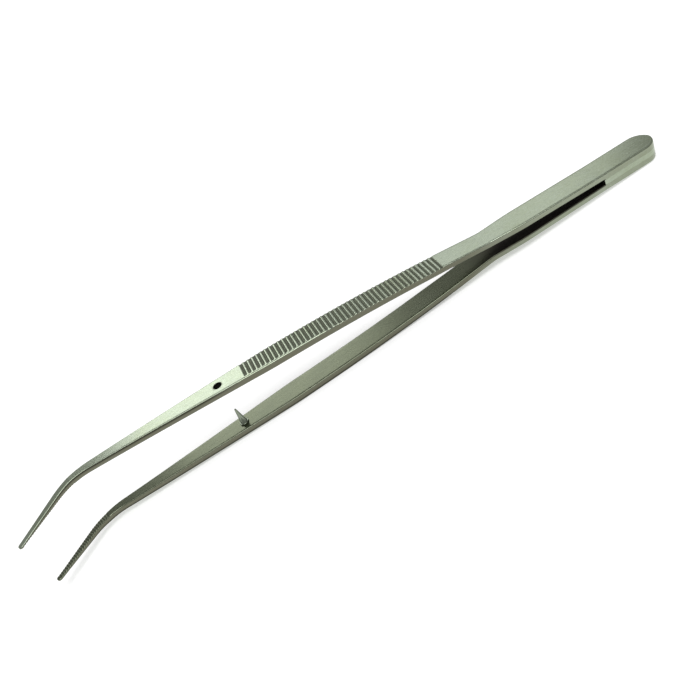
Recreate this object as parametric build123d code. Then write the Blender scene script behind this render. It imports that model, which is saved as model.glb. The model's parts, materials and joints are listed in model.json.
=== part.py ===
from build123d import *
import math
import os

# Print tongs: two long stainless arms welded to a spacer at the heel, with a
# guide pin on the lower arm that enters a hole in the upper one. They are
# drawn symmetric about z = 0 with the heel end at x = 0 and the tips at -X,
# then laid down as they rest on a table. Millimetres and degrees.

# Lengths, measured from the heel end
block_length = 23.0        # spacer between the arms
flex_at = 45.0             # middle of the spring stretch, where each arm turns
waist_start = 56.0         # where the spring stretch starts to narrow
shank_bend_at = 68.0       # crease where the arms spread
waist_end = 92.0           # where the grip has its full width
bow_at = 115.0             # middle of the bow
taper_start = 150.0        # where the grip starts to taper
guide_at = 168.5           # guide pin and guide hole
tip_bend_at = 223.5        # where the jaws turn sideways
jaw_length = 25.2          # from that bend to the tips
jaw_angle = 40.0

# Widths across the arms
heel_width = 10.7
waist_width = 8.8
grip_width = 9.55
jaw_root_width = 2.9
jaw_tip_width = 2.1

# Half of the space between the arms
slot_half = 0.95
shank_half = 1.8
spread_slope = 0.108       # rise of the arm as it leaves the crease
root_slope = 0.004         # and as it reaches the jaw
bow_half = 5.9
guide_half = 8.0
jaw_root_half = 9.2
jaw_tip_half = 8.9

# Thickness of an arm
heel_thickness = 2.1
spring_thickness = 2.05
grip_thickness = 2.3
jaw_root_thickness = 2.05
jaw_tip_thickness = 0.7
thicknesses = (
    heel_thickness,
    spring_thickness,
    grip_thickness,
    jaw_root_thickness,
    jaw_tip_thickness,
)

# Finger grooves across the outer face of the upper arm
groove_count = 45
groove_pitch = 1.653
groove_first = 158.8       # the groove nearest the tips
groove_radius = 0.75
groove_depth = 0.28

# Gripping teeth across the inner faces of the jaws
tooth_pitch = 0.9
tooth_depth = 0.22
tooth_margin = 1.2         # plain stretch at the very tip

# Guide pin, riveted through the lower arm, and the hole it enters
pin_height = 6.8
pin_base_radius = 1.2
pin_tip_radius = 0.7
collar_radius = 1.65
collar_height = 0.5
rivet_radius = 1.0
rivet_recess = 0.3         # the riveted end stops short of the outer face
seat_depth = 0.15          # spot face under the collar
guide_hole_radius = 1.5
fit_clearance = 0.02       # round a riveted or seated piece

# Turning seam that stands in for the elastic bend of each arm
knuckle_radius = 0.8
knuckle_clearance = 0.05
seam_gap = 0.14

outer_bend_radius = 21.5   # rounding of the jaw bend, in plan
inner_bend_radius = 18.5
sweep_radius = 30.0        # rounding of the waist, in plan
reach = 40.0               # how far a cutter runs past the work
end_overrun = 1.0          # a side view runs this far past the tip


def jaw_point(along, sideways):
    """Plan position on a jaw, from the bend and across to the far side."""
    turn = math.radians(jaw_angle)
    return (
        -tip_bend_at - along * math.cos(turn) - sideways * math.sin(turn),
        -along * math.sin(turn) + sideways * math.cos(turn),
    )


def bend_corner(side):
    """Where the straight edge of the arm meets the jaw's edge, on one side."""
    half = jaw_root_width / 2
    return (-tip_bend_at - side * half * math.tan(math.radians(jaw_angle) / 2), side * half)


def plan_outline():
    """Outline of an arm seen from above, as one rounded polygon."""
    far = [
        (0, heel_width / 2, heel_width * 0.49),
        (-waist_start, heel_width / 2, sweep_radius),
        (-shank_bend_at, waist_width / 2, sweep_radius),
        (-waist_end, grip_width / 2, sweep_radius),
        (-taper_start, grip_width / 2, sweep_radius),
    ]
    jaw_far = (*jaw_point(jaw_length, jaw_tip_width / 2), jaw_tip_width * 0.45)
    jaw_near = (*jaw_point(jaw_length, -jaw_tip_width / 2), jaw_tip_width * 0.45)
    jaw = [
        (*bend_corner(1), outer_bend_radius),
        jaw_far,
        jaw_near,
        (*bend_corner(-1), inner_bend_radius),
    ]
    near = [(x, -y, r) for x, y, r in reversed(far)]
    corners = far + jaw + near
    points = [(x, y) for x, y, r in corners]
    outline = FilletPolyline(*points, radius=[r for x, y, r in corners], close=True)
    return make_face(outline.edges())


def side_edge(extra):
    """Curve of a face of the upper arm from the side, heel first."""
    tip_x = jaw_point(jaw_length, 0)[0]
    heel, spring, grip, root, tip = extra
    heel_point = (0, slot_half + heel)
    block_point = (-block_length, slot_half + heel)
    crease = (-shank_bend_at, shank_half + spring)
    rise = [
        (-bow_at, bow_half + grip),
        (-guide_at, guide_half + grip),
        (-tip_bend_at, jaw_root_half + root),
    ]
    leave = Vector(-1, spread_slope)
    fall = jaw_tip_half + tip - jaw_root_half - root
    bow = Spline(crease, *rise, tangents=[leave, Vector(-1, root_slope)])
    jaw = Line(rise[-1], (tip_x - end_overrun, rise[-1][1] + fall))
    return [Line(heel_point, block_point), Line(block_point, crease), bow, jaw]


def side_face():
    """Area of the upper arm seen from the side, between its two faces."""
    inner = side_edge((0, 0, 0, 0, 0))
    outer = side_edge(thicknesses)
    heel_end = Line(inner[0] @ 0, outer[0] @ 0)
    tip_end = Line(inner[-1] @ 1, outer[-1] @ 1)
    return make_face(Curve() + [*inner, *outer, heel_end, tip_end])


def grip_height(distance):
    """Height of the outer face at a distance from the heel, on the bow."""
    curve = side_edge(thicknesses)[2]
    low, high = 0.0, 1.0
    for _ in range(40):
        middle = (low + high) / 2
        if -(curve @ middle).X < distance:
            low = middle
        else:
            high = middle
    return (curve @ low).Y


def across(shape_radius, x, z):
    """Round cutter lying across the arm at a point of its side view."""
    return Pos(x, 0, z) * Rot(90, 0, 0) * Cylinder(shape_radius, reach)


def grip_grooves():
    """One round-bottomed cutter for each finger groove."""
    cutters = []
    for number in range(groove_count):
        distance = groove_first - number * groove_pitch
        height = grip_height(distance) + groove_radius - groove_depth
        cutters.append(across(groove_radius, -distance, height))
    return cutters


def jaw_teeth():
    """V-shaped cutters across the inner face of the upper jaw."""
    cutters = []
    span = jaw_length - tooth_margin
    slope = (jaw_tip_half - jaw_root_half) / jaw_length
    for number in range(int(span / tooth_pitch)):
        along = jaw_length - tooth_margin - number * tooth_pitch
        x, y = jaw_point(along, 0)
        height = jaw_root_half + slope * along
        notch = Rectangle(tooth_depth * 2 ** 0.5, tooth_depth * 2 ** 0.5, rotation=45)
        bar = extrude(notch, amount=jaw_root_width, both=True)
        cutters.append(Pos(x, y, height) * Rot(0, 0, jaw_angle) * Rot(90, 0, 0) * bar)
    return cutters


def whole_arm():
    """The upper arm in one piece, before it is divided at its seam."""
    plan = extrude(plan_outline(), amount=reach)
    side = extrude(Plane.XZ * side_face(), amount=reach, both=True)
    return plan & side


def seam_height():
    """Middle of the arm's thickness at the turning seam."""
    share = (flex_at - block_length) / (shank_bend_at - block_length)
    inner = slot_half + share * (shank_half - slot_half)
    thickness = heel_thickness + share * (spring_thickness - heel_thickness)
    return inner + thickness / 2


def outside_seam(heel_side):
    """Block of space on one side of the seam, short of it by half the gap."""
    x = -flex_at + (seam_gap / 2 if heel_side else -seam_gap / 2)
    side = Align.MIN if heel_side else Align.MAX
    size = reach + (flex_at if heel_side else tip_bend_at)
    return Pos(x, 0, 0) * Box(size, 2 * reach, 2 * reach, align=(side, Align.CENTER, Align.CENTER))


def flip(shape):
    """The same shape on the lower arm."""
    return mirror(shape, about=Plane.XY)


arm = whole_arm()
pivot = (-flex_at, seam_height())
root = (arm & outside_seam(True)) - across(knuckle_radius + knuckle_clearance, *pivot)
knuckle = across(knuckle_radius, *pivot) & arm
plain_blade = (arm & outside_seam(False)) + knuckle
plain_blade = plain_blade - jaw_teeth()

guide_hole = Pos(-guide_at, 0, guide_half) * Cylinder(guide_hole_radius, reach / 2)
upper_blade = plain_blade - grip_grooves() - guide_hole

# The pin's height runs down from the inner face of the lower arm, before flip
seat = guide_half + seat_depth
rivet_end = guide_half + grip_thickness - rivet_recess
pin_profile = Polyline(
    (0, rivet_end),
    (rivet_radius, rivet_end),
    (rivet_radius, seat),
    (collar_radius, seat),
    (collar_radius, guide_half - collar_height),
    (pin_base_radius, guide_half - collar_height),
    (pin_tip_radius, guide_half - pin_height + pin_tip_radius),
    (pin_tip_radius * 0.6, guide_half - pin_height),
    (0, guide_half - pin_height),
    close=True,
)
pin = Pos(-guide_at, 0, 0) * revolve(Plane.XZ * make_face(pin_profile), Axis.Z)
rivet_hole = Pos(-guide_at, 0, seat) * Cylinder(rivet_radius + fit_clearance, reach / 2)
spot_face = Pos(-guide_at, 0, seat) * Cylinder(
    collar_radius + fit_clearance, reach / 8, align=(Align.CENTER, Align.CENTER, Align.MAX)
)
lower_blade = plain_blade - rivet_hole - spot_face

spacer_plan = extrude(plan_outline(), amount=slot_half, both=True)
spacer_span = Box(block_length, 2 * reach, 2 * reach, align=(Align.MAX, Align.CENTER, Align.CENTER))

nodes = {
    "heel_spacer": spacer_plan & spacer_span,
    "upper_arm_root": root,
    "lower_arm_root": flip(root),
    "upper_arm_blade": upper_blade,
    "lower_arm_blade": flip(lower_blade),
    "guide_pin": flip(pin),
}

# The tongs rest on the lower edge of the heel and on the bow of the lower arm
low_heel = slot_half + heel_thickness
bow_edge = side_edge(thicknesses)[2]
samples = [bow_edge @ (step / 200) for step in range(200)]
rest_slope = max((point.Y - low_heel) / -point.X for point in samples)
rest_tilt = math.degrees(math.atan(rest_slope))

laid = {name: Rot(0, rest_tilt, 0) * shape for name, shape in nodes.items()}
box = Compound(children=[Compound(shape.solids()) for shape in laid.values()]).bounding_box()
middle = Pos(-(box.min.X + box.max.X) / 2, -(box.min.Y + box.max.Y) / 2, -box.min.Z)

os.makedirs("parts", exist_ok=True)
for name, shape in laid.items():
    placed = middle * shape
    solids = placed.solids()
    export_step(Compound(solids) if len(solids) > 1 else solids[0], f"parts/{name}.step")

print("rest tilt", round(rest_tilt, 4), "pivot", pivot, "shift", middle.position)
print("size", box.size)
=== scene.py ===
import bpy
import bmesh
import json
import math
from mathutils import Matrix, Vector


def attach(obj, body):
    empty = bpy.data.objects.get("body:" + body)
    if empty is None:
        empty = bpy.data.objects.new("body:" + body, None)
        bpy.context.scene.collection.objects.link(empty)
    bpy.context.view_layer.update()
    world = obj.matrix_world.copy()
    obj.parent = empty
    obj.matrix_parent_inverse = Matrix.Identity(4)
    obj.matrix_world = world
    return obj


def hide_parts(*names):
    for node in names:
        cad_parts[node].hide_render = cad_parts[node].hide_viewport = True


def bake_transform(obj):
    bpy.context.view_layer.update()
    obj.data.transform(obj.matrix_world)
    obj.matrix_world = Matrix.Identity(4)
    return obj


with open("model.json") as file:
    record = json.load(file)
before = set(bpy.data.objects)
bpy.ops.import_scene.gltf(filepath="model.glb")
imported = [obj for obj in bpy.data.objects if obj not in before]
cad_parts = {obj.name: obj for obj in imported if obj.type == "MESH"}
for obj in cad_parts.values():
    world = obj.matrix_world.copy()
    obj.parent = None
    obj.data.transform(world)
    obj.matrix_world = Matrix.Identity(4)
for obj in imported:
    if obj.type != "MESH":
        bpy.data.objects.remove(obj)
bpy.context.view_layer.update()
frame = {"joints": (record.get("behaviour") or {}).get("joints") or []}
mm = 0.001

class Wire:
    # A node socket that can be used in sums, so a pattern reads as an expression.
    def __init__(self, tree, socket):
        self.tree = tree
        self.socket = socket

    def join(self, operation, *values):
        node = self.tree.nodes.new("ShaderNodeMath")
        node.operation = operation
        for place, value in enumerate(values):
            if isinstance(value, Wire):
                self.tree.links.new(value.socket, node.inputs[place])
            else:
                node.inputs[place].default_value = value
        return Wire(self.tree, node.outputs[0])

    def __add__(self, other):
        return self.join("ADD", self, other)

    def __radd__(self, other):
        return self.join("ADD", other, self)

    def __sub__(self, other):
        return self.join("SUBTRACT", self, other)

    def __rsub__(self, other):
        return self.join("SUBTRACT", other, self)

    def __mul__(self, other):
        return self.join("MULTIPLY", self, other)

    def __rmul__(self, other):
        return self.join("MULTIPLY", other, self)

    def __truediv__(self, other):
        return self.join("DIVIDE", self, other)

    def __abs__(self):
        return self.join("ABSOLUTE", self)

    def rounded(self):
        return self.join("ROUND", self)

    def above(self, other):
        return self.join("GREATER_THAN", self, other)

    def below(self, other):
        return self.join("LESS_THAN", self, other)

    def atMost(self, other):
        return self.join("MINIMUM", self, other)

    def atLeast(self, other):
        return self.join("MAXIMUM", self, other)


class Tree:
    # Adds nodes to a shader or geometry tree.
    def __init__(self, tree):
        self.tree = tree

    def add(self, kind, settings=None, inputs=None, output=0):
        node = self.tree.nodes.new(kind)
        for name, value in (settings or {}).items():
            setattr(node, name, value)
        for name, value in (inputs or {}).items():
            socket = node.inputs[name]
            if isinstance(value, Wire):
                self.tree.links.new(value.socket, socket)
            else:
                socket.default_value = value
        return Wire(self.tree, node.outputs[output]) if len(node.outputs) else None

    def mix(self, factor, first, second):
        # Goes from one colour to the other as the factor rises.
        node = self.tree.nodes.new("ShaderNodeMix")
        node.data_type = "RGBA"
        self.tree.links.new(factor.socket, node.inputs[0])
        for socket, value in ((node.inputs[6], first), (node.inputs[7], second)):
            if isinstance(value, Wire):
                self.tree.links.new(value.socket, socket)
            else:
                socket.default_value = (*value, 1)
        return Wire(self.tree, node.outputs[2])

    def ramp(self, factor, stops):
        node = self.tree.nodes.new("ShaderNodeValToRGB")
        while len(node.color_ramp.elements) < len(stops):
            node.color_ramp.elements.new(0.5)
        for element, (place, colour) in zip(node.color_ramp.elements, stops):
            element.position = place
            element.color = (*colour, 1)
        self.tree.links.new(factor.socket, node.inputs["Fac"])
        return Wire(self.tree, node.outputs["Color"])


def newMaterial(name):
    material = bpy.data.materials.new(name)
    material.use_nodes = True
    material.node_tree.nodes.clear()
    return material, Tree(material.node_tree)


def linkObject(name, mesh):
    piece = bpy.data.objects.new(name, mesh)
    bpy.context.scene.collection.objects.link(piece)
    return piece


def bake(piece):
    # Turns what the modifiers give into a plain mesh, and drops the modifiers.
    graph = bpy.context.evaluated_depsgraph_get()
    mesh = bpy.data.meshes.new_from_object(piece.evaluated_get(graph))
    piece.modifiers.clear()
    piece.data = mesh
    return piece


def faceOutwards(mesh):
    work = bmesh.new()
    work.from_mesh(mesh)
    bmesh.ops.recalc_face_normals(work, faces=work.faces)
    work.to_mesh(mesh)
    work.free()


def shadeSmooth(piece, angle):
    # Smooth faces that stay crisp where two meet at more than this angle.
    mesh = piece.data
    mesh.polygons.foreach_set("use_smooth", [True] * len(mesh.polygons))
    mesh.set_sharp_from_angle(angle=math.radians(angle))


steelLook = {
    "colour": (0.395, 0.450, 0.355),
    "shade": (0.305, 0.350, 0.245),
    # Painted shade for the inner faces, the sides along the grip and a line low on the sides.
    "innerPaintedShade": (0.118, 0.132, 0.085),
    "sidePaintedShade": (0.125, 0.120, 0.085),
    "rimPaintedShade": (0.022, 0.022, 0.014),
    # heelSide and sideFade set where the painted side shade begins along the arm and how slowly it
    # comes in.
    "heelSide": 26.0,
    "sideFade": 60.0,
    "roughness": 0.25,
    "brushing": 0.20,
    "brushPitch": 4200.0,
    "brushStretch": 0.03,
    "cloudScale": 60.0,
    "speckScale": 900.0,
    "bumpStrength": 0.10,
    "bumpHeight": 0.00006,
    # Painted shade inside the slot between the arms, in the grooves and tooth valleys, and on the guide
    # hole's wall; then where the slot's shade fades out.
    "slotPaintedShade": (0.035, 0.030, 0.024),
    "groovePaintedShade": (0.095, 0.105, 0.070),
    "holePaintedShade": (0.016, 0.016, 0.014),
    "slotShadeEnds": (64.0, 90.0),
}


def steelMaterial(name, look, tint=1.0, rough=0.0, brushed=1.0, marked=False):
    # Satin stainless, brushed along the arm. Marked steel reads the arm's attributes: painted shade
    # darkens its inner face and sides, a painted dark line runs low on its sides, and painted shade
    # darkens the grooves, the teeth and, mottled, the slot between the arms, which are also rougher.
    material, tree = newMaterial(name)
    place = tree.add("ShaderNodeTexCoord", output=3)
    stretched = tree.add(
        "ShaderNodeMapping", {}, {"Vector": place, "Scale": (look["brushStretch"], 1.0, 1.0)}
    )
    lines = tree.add(
        "ShaderNodeTexNoise", {}, {"Vector": stretched, "Scale": look["brushPitch"], "Detail": 4.0}
    )
    clouds = tree.add(
        "ShaderNodeTexNoise", {}, {"Vector": place, "Scale": look["cloudScale"], "Detail": 3.0}
    )
    specks = tree.add(
        "ShaderNodeTexNoise", {}, {"Vector": place, "Scale": look["speckScale"], "Detail": 2.0}
    )
    shade = [c * tint for c in look["shade"]]
    colour = [c * tint for c in look["colour"]]
    base = tree.ramp(clouds * 0.5 + lines * 0.3 + specks * 0.2, [(0.36, shade), (0.58, colour)])
    roughness = (lines - 0.5) * look["brushing"] * brushed
    roughness = roughness + (clouds - 0.5) * 0.10 + (look["roughness"] + rough)
    if marked:
        sunk = tree.add("ShaderNodeAttribute", {"attribute_name": "sunk"}, output=2)
        inner = tree.add("ShaderNodeAttribute", {"attribute_name": "innerShare"}, output=2)
        along = tree.add("ShaderNodeAttribute", {"attribute_name": "along"}, output=2)
        outer = tree.add("ShaderNodeAttribute", {"attribute_name": "outerShare"}, output=2)
        # Painted shade darkens the inner face.
        base = tree.mix(inner * 0.9, base, look["innerPaintedShade"])
        # Painted shade darkens the sides along the grip.
        onGrip = ((along - look["heelSide"]) / look["sideFade"]).atLeast(0.35).atMost(0.9)
        base = tree.mix((1.0 - inner - outer).atLeast(0.0) * onGrip, base, look["sidePaintedShade"])
        # A painted dark line low on the sides: painted shade of the gap under the arm.
        rimShadeMask = tree.add("ShaderNodeAttribute", {"attribute_name": "rimShadeMask"}, output=2)
        base = tree.mix(rimShadeMask * 0.9, base, look["rimPaintedShade"])
        # Painted shade between the arms inside the slot, mottled, fading out along the arm.
        start, end = look["slotShadeEnds"]
        inSlot = ((end - along) / (end - start)).atLeast(0.0).atMost(1.0)
        slotShading = inner * inSlot * inSlot * (clouds * 0.5 + 0.72)
        base = tree.mix(slotShading.atMost(1.0), base, look["slotPaintedShade"])
        # Painted shade in the grooves and between the teeth.
        base = tree.mix((sunk * 1.2).atMost(0.85), base, look["groovePaintedShade"])
        roughness = roughness + slotShading * 0.25 + sunk * 0.25
    normal = tree.add(
        "ShaderNodeBump",
        {},
        {
            "Height": lines * 0.6 + specks * 0.4,
            "Strength": look["bumpStrength"] * brushed,
            "Distance": look["bumpHeight"],
        },
    )
    shader = tree.add(
        "ShaderNodeBsdfPrincipled",
        {},
        {"Base Color": base, "Roughness": roughness, "Metallic": 1.0, "Normal": normal},
    )
    tree.add("ShaderNodeOutputMaterial", {}, {"Surface": shader})
    return material


def shadedHoleMaterial(name, colour, roughness):
    # The unpolished wall of a drilled hole, painted near black as the shade inside the hole.
    material, tree = newMaterial(name)
    place = tree.add("ShaderNodeTexCoord", output=3)
    grain = tree.add("ShaderNodeTexNoise", {}, {"Vector": place, "Scale": 2500.0, "Detail": 2.0})
    base = tree.ramp(grain, [(0.35, [c * 0.6 for c in colour]), (0.65, colour)])
    shader = tree.add(
        "ShaderNodeBsdfPrincipled",
        {},
        {"Base Color": base, "Roughness": grain * 0.2 + roughness, "Metallic": 1.0},
    )
    tree.add("ShaderNodeOutputMaterial", {}, {"Surface": shader})
    return material


armSteel = steelMaterial("armSteel", steelLook, marked=True)
spacerSteel = steelMaterial("spacerSteel", steelLook, tint=0.97, rough=0.02)
pinSteel = steelMaterial("pinSteel", steelLook, tint=0.62, rough=-0.07, brushed=0.3)
holeShadeSteel = shadedHoleMaterial("holeShadeSteel", steelLook["holePaintedShade"], 0.55)
print("materials made")

arm = {
    "flexAt": 45.0,
    "flexStart": 25.0,
    "flexEnd": 66.0,
    "blockLength": 23.0,
    "shankBend": 68.0,
    "waistStart": 56.0,
    "waistEnd": 92.0,
    "bowAt": 115.0,
    "taperStart": 150.0,
    "guideAt": 168.5,
    "jawBend": 223.5,
    "jawLength": 25.2,
    "jawAngle": 40.0,
    "jawRadius": 20.0,
    "heelWidth": 10.7,
    "waistWidth": 8.8,
    "gripWidth": 9.55,
    "jawRootWidth": 2.9,
    "jawTipWidth": 2.1,
    "slotHalf": 0.95,
    "shankHalf": 1.8,
    "bowHalf": 5.9,
    "guideHalf": 8.0,
    "jawRootHalf": 9.2,
    "jawTipHalf": 8.9,
    "heelThick": 2.1,
    "springThick": 2.05,
    "gripThick": 2.3,
    "jawRootThick": 2.05,
    "jawTipThick": 0.7,
    "spreadSlope": 0.108,
    "rootSlope": 0.004,
    "edgeRound": 0.42,
    "weldedRound": 0.02,
    "tipRound": 0.95,
    "cornerReach": 2.5,
    "leastHalfWidth": 0.04,
    "smoothAngle": 38,
    "heelRings": (0.02, 0.12, 0.3, 0.6, 1.0, 1.5, 2.1, 2.8, 3.6, 4.4, 5.35),
    "tipRings": (0.5, 0.35, 0.22, 0.12, 0.05, 0.01),
    "plainStep": 1.2,
    "jawStep": 1.0,
    "acrossSteps": 16,
    "sideSteps": 5,
    # Where the painted shade line low on the sides starts on each arm, and how far it takes to come in.
    "rimReach": 12.0,
    "upperRimStart": 160.0,
    "lowerRimStart": 78.0,
    "roundSteps": 3,
}
grooves = {
    "count": 45,
    "pitch": 1.653,
    "first": 158.8,
    "radius": 0.62,
    "depth": 0.30,
    "laneWidth": 1.7,
    "laneStart": 122.0,
    "laneFade": 3.0,
    "rings": 14,
}
teeth = {"pitch": 0.9, "depth": 0.2, "margin": 1.2, "rings": 8}
jawTurn = math.radians(arm["jawAngle"])
jawTangent = arm["jawRadius"] * math.tan(jawTurn / 2)
jawArcStart = arm["jawBend"] - jawTangent
jawArcEnd = jawArcStart + arm["jawRadius"] * jawTurn
pathLength = jawArcEnd + arm["jawLength"] - jawTangent


def restPlacement():
    # From the upright drawing of the tongs to how they lie in the frame.
    joints = {joint["name"]: Vector(joint["pos_m"]) for joint in frame["joints"]}
    upper, lower = joints["upper_arm_flex"], joints["lower_arm_flex"]
    middle = (upper + lower) / 2
    across = upper - lower
    tilt = math.atan2(across.x, across.z)
    turn = Matrix.Rotation(tilt, 4, "Y")
    return Matrix.Translation(middle) @ turn @ Matrix.Translation(Vector((arm["flexAt"] * mm, 0, 0)))


def pathPoint(along):
    # Place, in plan, and heading of the arm's middle line at a distance along it.
    if along < jawArcStart:
        return -along, 0.0, 0.0
    if along < jawArcEnd:
        turn = (along - jawArcStart) / arm["jawRadius"]
        x = jawArcStart + arm["jawRadius"] * math.sin(turn)
        return -x, -arm["jawRadius"] * (1 - math.cos(turn)), turn
    rest = along - jawArcEnd + jawTangent
    return -arm["jawBend"] - rest * math.cos(jawTurn), -rest * math.sin(jawTurn), jawTurn


def between(value, places, sizes):
    # Straight steps between the sizes given at these places.
    for low, high, start, end in zip(places, places[1:], sizes, sizes[1:]):
        if value <= high:
            return start + (end - start) * max(0.0, (value - low) / (high - low))
    return sizes[-1]


def softBetween(value, places, sizes, reach):
    # The same with its corners softened over a short reach.
    spots = [value + reach * step / 4 for step in range(-4, 5)]
    return sum(between(spot, places, sizes) for spot in spots) / len(spots)


def splineSlopes(places, heights, first, last):
    # Slopes at the knots of a smooth curve with set end slopes. Sixty rounds settle them.
    count = len(places)
    slopes = [first] + [0.0] * (count - 2) + [last]
    for _ in range(60):
        for i in range(1, count - 1):
            before = places[i] - places[i - 1]
            after = places[i + 1] - places[i]
            pull = 3 * (
                (heights[i] - heights[i - 1]) / before**2 + (heights[i + 1] - heights[i]) / after**2
            )
            pull -= slopes[i - 1] / before + slopes[i + 1] / after
            slopes[i] = pull / (2 / before + 2 / after)
    return slopes


def splineHeight(x, places, heights, slopes):
    for i in range(len(places) - 1):
        if x <= places[i + 1] or i == len(places) - 2:
            span = places[i + 1] - places[i]
            t = min(1.0, max(0.0, (x - places[i]) / span))
            rise = heights[i] * (1 + 2 * t) * (1 - t) ** 2 + heights[i + 1] * t * t * (3 - 2 * t)
            return rise + span * (slopes[i] * t * (1 - t) ** 2 - slopes[i + 1] * t * t * (1 - t))


bowPlaces = [arm["shankBend"], arm["bowAt"], arm["guideAt"], arm["jawBend"]]
innerBow = [arm["shankHalf"], arm["bowHalf"], arm["guideHalf"], arm["jawRootHalf"]]
bowThick = [arm["springThick"], arm["gripThick"], arm["gripThick"], arm["jawRootThick"]]
outerBow = [half + thick for half, thick in zip(innerBow, bowThick)]
innerSlopes = splineSlopes(bowPlaces, innerBow, arm["spreadSlope"], arm["rootSlope"])
outerSlopes = splineSlopes(bowPlaces, outerBow, arm["spreadSlope"], arm["rootSlope"])
jawTipX = arm["jawBend"] + arm["jawLength"] * math.cos(jawTurn)


def faceHeight(x, outer):
    # Height of the inner or outer face at a plan distance from the heel end.
    thick = (arm["heelThick"], arm["springThick"], arm["jawRootThick"], arm["jawTipThick"])
    heel, spring, root, tip = thick if outer else (0, 0, 0, 0)
    if x <= arm["shankBend"]:
        places = [arm["blockLength"], arm["shankBend"]]
        return between(x, places, [arm["slotHalf"] + heel, arm["shankHalf"] + spring])
    if x <= arm["jawBend"]:
        heights, slopes = (outerBow, outerSlopes) if outer else (innerBow, innerSlopes)
        return splineHeight(x, bowPlaces, heights, slopes)
    places = [arm["jawBend"], jawTipX]
    return between(x, places, [arm["jawRootHalf"] + root, arm["jawTipHalf"] + tip])


def halfWidth(along):
    places = [0, arm["waistStart"], arm["shankBend"], arm["waistEnd"], arm["taperStart"]]
    places += [arm["jawBend"], pathLength]
    widths = [arm["heelWidth"], arm["heelWidth"], arm["waistWidth"], arm["gripWidth"]]
    widths += [arm["gripWidth"], arm["jawRootWidth"], arm["jawTipWidth"]]
    half = softBetween(along, places, widths, arm["cornerReach"]) / 2
    heelRadius = arm["heelWidth"] / 2
    if along < heelRadius:
        half = min(half, math.sqrt(max(0.0, heelRadius**2 - (heelRadius - along) ** 2)))
    left = pathLength - along
    if left < arm["tipRound"]:
        curve = math.sqrt(max(0.0, arm["tipRound"] ** 2 - (arm["tipRound"] - left) ** 2))
        half = min(half, half - arm["tipRound"] + curve)
    return max(half, arm["leastHalfWidth"])


def stations():
    # Distances along the arm, close together where the surface changes quickly.
    places = list(arm["heelRings"])
    lastGroove = grooves["first"] - (grooves["count"] - 1) * grooves["pitch"]
    place = 6.5
    while place < lastGroove - grooves["pitch"]:
        places.append(place)
        place += arm["plainStep"]
    step = grooves["pitch"] / grooves["rings"]
    place = lastGroove - grooves["pitch"] * 0.5
    while place < grooves["first"] + grooves["pitch"]:
        places.append(place)
        place += step
    toothStart = pathLength - arm["jawLength"]
    while place < toothStart:
        places.append(place)
        place += arm["jawStep"]
    place = toothStart
    while place < pathLength - arm["tipRings"][0] - 0.1:
        places.append(place)
        place += teeth["pitch"] / teeth["rings"]
    return places + [pathLength - gap for gap in arm["tipRings"]]


def crossSection(half, low, high, innerRound):
    # Points round a rounded bar, with how far each lies on the outer and inner face.
    limit = min(half * 0.8, (high - low) * 0.45)
    r = min(arm["edgeRound"], limit)
    q = min(innerRound, limit)
    points = []
    across = arm["acrossSteps"]
    for step in range(across + 1):
        points.append((half - r - 2 * (half - r) * step / across, high, 1.0, 0.0))
    for step in range(1, arm["roundSteps"]):
        turn = math.pi / 2 * step / arm["roundSteps"]
        share = math.cos(turn)
        points.append((-half + r - r * math.sin(turn), high - r + r * share, share, 0.0))
    for step in range(arm["sideSteps"] + 1):
        points.append((-half, high - r - (high - low - r - q) * step / arm["sideSteps"], 0.0, 0.0))
    for step in range(1, arm["roundSteps"]):
        turn = math.pi / 2 * step / arm["roundSteps"]
        share = math.sin(turn)
        points.append((-half + q - q * math.cos(turn), low + q - q * share, 0.0, share))
    for step in range(across + 1):
        points.append((-half + q + 2 * (half - q) * step / across, low, 0.0, 1.0))
    for step in range(1, arm["roundSteps"]):
        turn = math.pi / 2 * step / arm["roundSteps"]
        share = math.cos(turn)
        points.append((half - q + q * math.sin(turn), low + q - q * share, 0.0, share))
    for step in range(arm["sideSteps"] + 1):
        points.append((half, low + q + (high - low - r - q) * step / arm["sideSteps"], 0.0, 0.0))
    for step in range(1, arm["roundSteps"]):
        turn = math.pi / 2 * step / arm["roundSteps"]
        share = math.sin(turn)
        points.append((half - r + r * math.cos(turn), high - r + r * share, share, 0.0))
    return points


def rimShadeAmount(along, rimStart, share, outer):
    # How much of the painted shade line under the outer edge lies at a point of the side.
    begun = min(1.0, max(0.0, (along - rimStart) / arm["rimReach"]))
    return begun * min(1.0, max(0.0, (share - 0.55) * 4)) * (1.0 - outer) ** 0.5


def armMesh(name, rimStart):
    # A smooth arm drawn upright, with the attributes that the grooves, teeth and steel need.
    rings, alongs, outers, inners, rimShadeMasks, verts = [], [], [], [], [], []
    for along in stations():
        x, y, heading = pathPoint(along)
        low, high = faceHeight(-x, False), faceHeight(-x, True)
        start = len(verts)
        innerRound = arm["weldedRound"] if along < arm["blockLength"] else arm["edgeRound"]
        for offset, z, outer, inner in crossSection(halfWidth(along), low, high, innerRound):
            across, beside = offset * math.sin(heading), offset * math.cos(heading)
            verts.append(((x - across) * mm, (y + beside) * mm, z * mm))
            alongs.append(along)
            outers.append(outer)
            inners.append(inner)
            # The share of the painted shade line at this point.
            rimShadeMasks.append(rimShadeAmount(along, rimStart, (z - low) / (high - low), outer))
        rings.append(list(range(start, len(verts))))
    faces = [tuple(reversed(rings[0])), tuple(rings[-1])]
    for first, second in zip(rings, rings[1:]):
        for i in range(len(first)):
            j = (i + 1) % len(first)
            faces.append((first[i], first[j], second[j], second[i]))
    mesh = bpy.data.meshes.new(name)
    mesh.from_pydata(verts, [], faces)
    named = (("along", alongs), ("outerShare", outers), ("innerShare", inners), ("rimShadeMask", rimShadeMasks))
    for title, values in named:
        mesh.attributes.new(title, "FLOAT", "POINT").data.foreach_set("value", values)
    mesh.update()
    faceOutwards(mesh)
    return mesh


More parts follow.
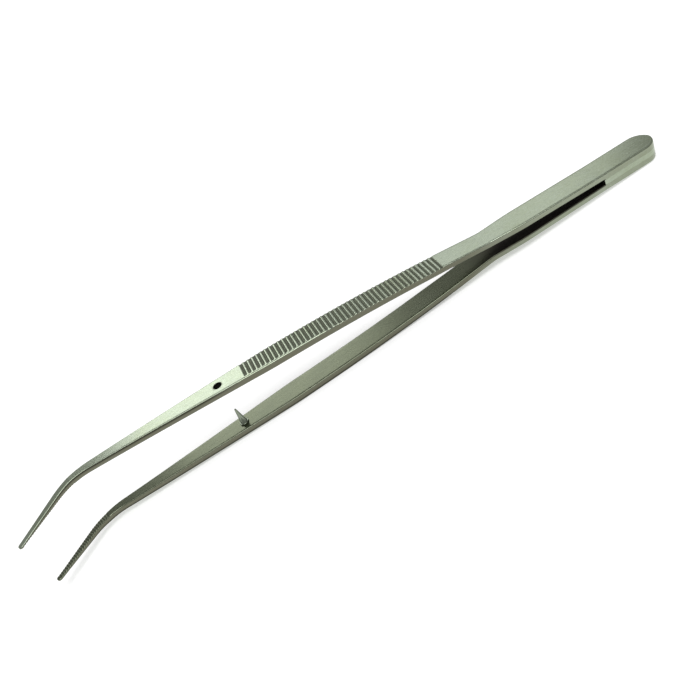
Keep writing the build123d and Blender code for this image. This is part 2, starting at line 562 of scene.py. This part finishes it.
def pressTree(material):
    # Presses finger grooves into the outer face and teeth into the jaw's inner face. Towards the tips
    # the grooves leave a plain lane along the near edge.
    group = bpy.data.node_groups.new("pressedGrip", "GeometryNodeTree")
    face = group.interface
    face.new_socket("Geometry", in_out="INPUT", socket_type="NodeSocketGeometry")
    names = ["Groove Count", "Groove Pitch", "First Groove", "Groove Radius", "Groove Depth"]
    names += ["Lane Width", "Lane Start", "Lane Fade", "Near Edge"]
    names += ["Tooth Pitch", "Tooth Depth", "Tooth Start", "Tooth End"]
    for name in names:
        face.new_socket(name, in_out="INPUT", socket_type="NodeSocketFloat")
    face.new_socket("Geometry", in_out="OUTPUT", socket_type="NodeSocketGeometry")
    entry = group.nodes.new("NodeGroupInput")
    tree = Tree(group)
    value = {name: Wire(group, entry.outputs[name]) for name in names}

    def attribute(name):
        return tree.add("GeometryNodeInputNamedAttribute", {"data_type": "FLOAT"}, {"Name": name})

    along = attribute("along")
    count = (along - value["First Groove"]) / value["Groove Pitch"]
    nearest = count.rounded().atMost(0.0).atLeast(1.0 - value["Groove Count"])
    away = (count - nearest) * value["Groove Pitch"]
    sunk = value["Groove Depth"] - away * away / (value["Groove Radius"] * 2.0)
    spread = (along - value["Lane Start"]) / (value["First Groove"] - value["Lane Start"])
    lane = spread.atLeast(0.0).atMost(1.0) * value["Lane Width"]
    position = tree.add("GeometryNodeInputPosition")
    sideways = tree.add("ShaderNodeSeparateXYZ", {}, {"Vector": position}, output=1)
    inside = (sideways / mm + value["Near Edge"] - lane) * value["Lane Fade"]
    inside = inside.atLeast(0.0).atMost(1.0)
    groovePress = sunk.atLeast(0.0) * attribute("outerShare") * inside
    phase = (along - value["Tooth Start"]) / value["Tooth Pitch"]
    ridge = abs(phase - phase.rounded()) * 2.0
    inJaw = along.above(value["Tooth Start"]) * along.below(value["Tooth End"])
    toothPress = ridge * value["Tooth Depth"] * inJaw * attribute("innerShare")
    lift = (toothPress - groovePress) * mm
    offset = tree.add("ShaderNodeCombineXYZ", {}, {"Z": lift})
    moved = tree.add(
        "GeometryNodeSetPosition", {}, {"Geometry": Wire(group, entry.outputs[0]), "Offset": offset}
    )
    # How deeply each point is pressed; the steel darkens these places with painted shade.
    share = (groovePress / value["Groove Depth"]).atLeast(toothPress / value["Tooth Depth"] * 0.7)
    marked = tree.add(
        "GeometryNodeStoreNamedAttribute",
        {"data_type": "FLOAT", "domain": "POINT"},
        {"Geometry": moved, "Name": "sunk", "Value": share},
    )
    real = tree.add("GeometryNodeRealizeInstances", {}, {"Geometry": marked})
    done = tree.add("GeometryNodeSetMaterial", {}, {"Geometry": real, "Material": material})
    leave = group.nodes.new("NodeGroupOutput")
    group.links.new(done.socket, leave.inputs[0])
    return group


def pressGrip(piece, group):
    modifier = piece.modifiers.new("grip", "NODES")
    modifier.node_group = group
    sizes = {
        "Groove Count": grooves["count"],
        "Groove Pitch": grooves["pitch"],
        "First Groove": grooves["first"],
        "Groove Radius": grooves["radius"],
        "Groove Depth": grooves["depth"],
        "Lane Width": grooves["laneWidth"],
        "Lane Start": grooves["laneStart"],
        "Lane Fade": grooves["laneFade"],
        "Near Edge": arm["gripWidth"] / 2,
        "Tooth Pitch": teeth["pitch"],
        "Tooth Depth": teeth["depth"],
        "Tooth Start": pathLength - arm["jawLength"],
        "Tooth End": pathLength - teeth["margin"],
    }
    entries = [item for item in group.interface.items_tree if item.in_out == "INPUT"]
    sockets = {item.name: item.identifier for item in entries}
    for name, size in sizes.items():
        modifier[sockets[name]] = float(size)
    return bake(piece)


def latheMesh(name, outline, count):
    # A closed turned shape from (radius, height) pairs, in millimetres.
    verts, faces = [], []
    for radius, height in outline:
        for step in range(count):
            turn = 2 * math.pi * step / count
            verts.append((radius * math.cos(turn) * mm, radius * math.sin(turn) * mm, height * mm))
    for level in range(len(outline) - 1):
        for step in range(count):
            after = (step + 1) % count
            low, high = level * count, (level + 1) * count
            faces.append((low + step, low + after, high + after, high + step))
    faces.append(tuple(reversed(range(count))))
    faces.append(tuple(range((len(outline) - 1) * count, len(outline) * count)))
    mesh = bpy.data.meshes.new(name)
    mesh.from_pydata(verts, [], faces)
    mesh.update()
    faceOutwards(mesh)
    return mesh


guideHole = {"radius": 1.5, "brokenEdge": 0.15, "overrun": 1.0, "turnings": 48}


def drillHole(piece, x):
    # A through hole with a broken edge at both faces.
    radius, bevel, past = guideHole["radius"], guideHole["brokenEdge"], guideHole["overrun"]
    low, high = faceHeight(x, False), faceHeight(x, True)
    outline = [(radius + bevel, low - past), (radius + bevel, low), (radius, low + bevel)]
    outline += [(radius, high - bevel), (radius + bevel, high), (radius + bevel, high + past)]
    cutter = latheMesh("holeCutter", outline, guideHole["turnings"])
    cutter.transform(Matrix.Translation((-x * mm, 0, 0)))
    cutter.materials.append(holeShadeSteel)
    tool = linkObject("holeCutter", cutter)
    modifier = piece.modifiers.new("hole", "BOOLEAN")
    modifier.object = tool
    modifier.operation = "DIFFERENCE"
    modifier.solver = "EXACT"
    modifier.material_mode = "TRANSFER"
    bake(piece)
    bpy.data.objects.remove(tool)
    return piece


placement = restPlacement()
grip = pressTree(armSteel)


def layDown(piece, lower):
    # Mirrors the lower arm, then lays the piece down as the tongs rest.
    if lower:
        piece.data.transform(Matrix.Scale(-1, 4, (0, 0, 1)))
        piece.data.flip_normals()
    piece.data.transform(placement)
    piece.data.update()


upperArm = pressGrip(linkObject("upperArm", armMesh("upperArm", arm["upperRimStart"])), grip)
drillHole(upperArm, arm["guideAt"])
lowerArm = pressGrip(linkObject("lowerArm", armMesh("lowerArm", arm["lowerRimStart"])), grip)
layDown(upperArm, False)
layDown(lowerArm, True)
for piece, body, nodes in (
    (upperArm, "upper_arm", ("upper_arm_root", "upper_arm_blade")),
    (lowerArm, "lower_arm", ("lower_arm_root", "lower_arm_blade")),
):
    shadeSmooth(piece, arm["smoothAngle"])
    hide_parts(*nodes)
    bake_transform(piece)
print("arms made")

pin = {
    "height": 6.8,
    "baseRadius": 1.2,
    "tipRadius": 0.34,
    "collarRadius": 1.62,
    "collarHeight": 0.5,
    "rivetRadius": 1.0,
    "rivetShare": 0.98,
    "seat": 0.1,
    "chamfer": 0.12,
    "foot": 0.14,
    "pointSteps": 8,
    "smoothAngle": 40,
    "turnings": 64,
}


def pinOutline():
    # From the rivet end, through the collar, up the taper to the rounded point.
    base = -arm["guideHalf"]
    rivetEnd = base - arm["gripThick"] * pin["rivetShare"]
    collar = base + pin["collarHeight"]
    top = base + pin["height"]
    tip = pin["tipRadius"]
    outline = [(0.02, rivetEnd), (pin["rivetRadius"], rivetEnd)]
    outline += [(pin["rivetRadius"], base - pin["seat"]), (pin["collarRadius"], base - pin["seat"])]
    outline += [(pin["collarRadius"], collar - pin["chamfer"])]
    outline += [(pin["collarRadius"] - pin["chamfer"], collar)]
    outline += [(pin["baseRadius"] + pin["chamfer"], collar), (pin["baseRadius"], collar + pin["foot"])]
    outline += [(tip, top - tip)]
    for step in range(1, pin["pointSteps"]):
        turn = math.pi / 2 * step / pin["pointSteps"]
        outline.append((tip * math.cos(turn), top - tip * (1 - math.sin(turn))))
    return outline + [(0.01, top)]


guidePin = linkObject("guidePin", latheMesh("guidePin", pinOutline(), pin["turnings"]))
guidePin.data.transform(Matrix.Translation((-arm["guideAt"] * mm, 0, 0)))
guidePin.data.transform(placement)
guidePin.data.materials.append(pinSteel)
shadeSmooth(guidePin, pin["smoothAngle"])
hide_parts("guide_pin")
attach(guidePin, "lower_arm")

spacer = {"steps": 40, "smoothAngle": 30}


def spacerMesh():
    # The block between the arms, with their heel outline.
    half = arm["heelWidth"] / 2
    outline = []
    for step in range(spacer["steps"] + 1):
        turn = math.pi / 2 - math.pi * step / spacer["steps"]
        outline.append((-half + half * math.cos(turn), half * math.sin(turn)))
    outline += [(-arm["blockLength"], -half), (-arm["blockLength"], half)]
    count = len(outline)
    verts = [(x * mm, y * mm, z * arm["slotHalf"] * mm) for z in (-1, 1) for x, y in outline]
    faces = [(i, (i + 1) % count, count + (i + 1) % count, count + i) for i in range(count)]
    faces += [tuple(reversed(range(count))), tuple(range(count, 2 * count))]
    mesh = bpy.data.meshes.new("heelSpacer")
    mesh.from_pydata(verts, [], faces)
    faceOutwards(mesh)
    return mesh


heelSpacer = linkObject("heelSpacer", spacerMesh())
heelSpacer.data.transform(placement)
heelSpacer.data.materials.append(spacerSteel)
shadeSmooth(heelSpacer, spacer["smoothAngle"])
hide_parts("heel_spacer")
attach(heelSpacer, "heel")
print("pin and spacer made")

stage = {
    "floorSize": 6.0,
    "floorColour": (0.80, 0.80, 0.80),
    "floorGlow": 0.38,
    "farGlow": 0.6,
    "worldColour": (1.0, 1.0, 1.0),
    "worldStrength": 0.38,
}


def whiteFloor():
    material, tree = newMaterial("paleFloor")
    path = tree.tree.nodes.new("ShaderNodeLightPath")
    seen = Wire(tree.tree, path.outputs["Is Camera Ray"])
    seen = seen.atLeast(Wire(tree.tree, path.outputs["Is Glossy Ray"]))
    diffuse = tree.add("ShaderNodeBsdfDiffuse", {}, {"Color": (*stage["floorColour"], 1)})
    place = tree.add("ShaderNodeTexCoord", output=3)
    distance = tree.add("ShaderNodeVectorMath", {"operation": "LENGTH"}, {0: place}, output=1)
    strength = seen * ((distance * stage["farGlow"]).atMost(stage["farGlow"]) + stage["floorGlow"])
    glow = tree.add("ShaderNodeEmission", {}, {"Color": (1, 1, 1, 1), "Strength": strength})
    both = tree.tree.nodes.new("ShaderNodeAddShader")
    tree.tree.links.new(diffuse.socket, both.inputs[0])
    tree.tree.links.new(glow.socket, both.inputs[1])
    tree.add("ShaderNodeOutputMaterial", {}, {"Surface": Wire(tree.tree, both.outputs[0])})
    half = stage["floorSize"] / 2
    mesh = bpy.data.meshes.new("floor")
    corners = [(-half, -half, 0), (half, -half, 0), (half, half, 0), (-half, half, 0)]
    mesh.from_pydata(corners, [], [(0, 1, 2, 3)])
    floor = linkObject("floor", mesh)
    floor.data.materials.append(material)


def addSoftbox(name, place, aim, size, power):
    light = bpy.data.lights.new(name, "AREA")
    light.shape = "RECTANGLE"
    light.size, light.size_y = size
    light.energy = power
    lamp = bpy.data.objects.new(name, light)
    bpy.context.scene.collection.objects.link(lamp)
    lamp.location = place
    lamp.rotation_euler = (Vector(aim) - Vector(place)).to_track_quat("-Z", "Y").to_euler()


def whiteWorld():
    world = bpy.data.worlds.new("softRoom")
    world.use_nodes = True
    world.node_tree.nodes.clear()
    tree = Tree(world.node_tree)
    path = world.node_tree.nodes.new("ShaderNodeLightPath")
    seen = Wire(world.node_tree, path.outputs["Is Camera Ray"])
    strength = seen * (1.0 - stage["worldStrength"]) + stage["worldStrength"]
    colour = (*stage["worldColour"], 1)
    backdrop = tree.add("ShaderNodeBackground", {}, {"Color": colour, "Strength": strength})
    tree.add("ShaderNodeOutputWorld", {}, {"Surface": backdrop})
    bpy.context.scene.world = world


# Each softbox: where it stands, what it points at, its size in metres and its power in watts.
softboxes = {
    "backLeft": ((-0.12, 0.95, 0.58), (-0.04, 0, 0), (0.40, 0.32), 1.0),
    "backRight": ((0.50, 0.90, 0.60), (0.06, 0, 0), (0.34, 0.30), 0.34),
    "overhead": ((0.05, -0.25, 1.1), (0, 0, 0), (0.9, 0.9), 8.0),
}
whiteFloor()
whiteWorld()
for name, (place, aim, size, power) in softboxes.items():
    addSoftbox(name, place, aim, size, power)

view = {
    "target": (-0.00409, 0.00564, 0.00272),
    "distance": 0.2563,
    "azimuth": 2.39,
    "elevation": 36.94,
    "roll": -32.99,
    "lens": 38.9,
}


def addCamera():
    azimuth, elevation = math.radians(view["azimuth"]), math.radians(view["elevation"])
    east = math.sin(azimuth) * math.cos(elevation)
    north = math.cos(azimuth) * math.cos(elevation)
    look = Vector((east, north, -math.sin(elevation)))
    data = bpy.data.cameras.new("camera")
    data.lens = view["lens"]
    data.clip_start = 0.01
    camera = bpy.data.objects.new("camera", data)
    bpy.context.scene.collection.objects.link(camera)
    level = look.to_track_quat("-Z", "Y").to_matrix().to_4x4()
    roll = Matrix.Rotation(math.radians(view["roll"]), 4, "Z")
    stand = Matrix.Translation(Vector(view["target"]) - look * view["distance"])
    camera.matrix_world = stand @ level @ roll
    bpy.context.scene.camera = camera


addCamera()
bpy.context.scene.view_settings.view_transform = "Standard"
print("stage set")
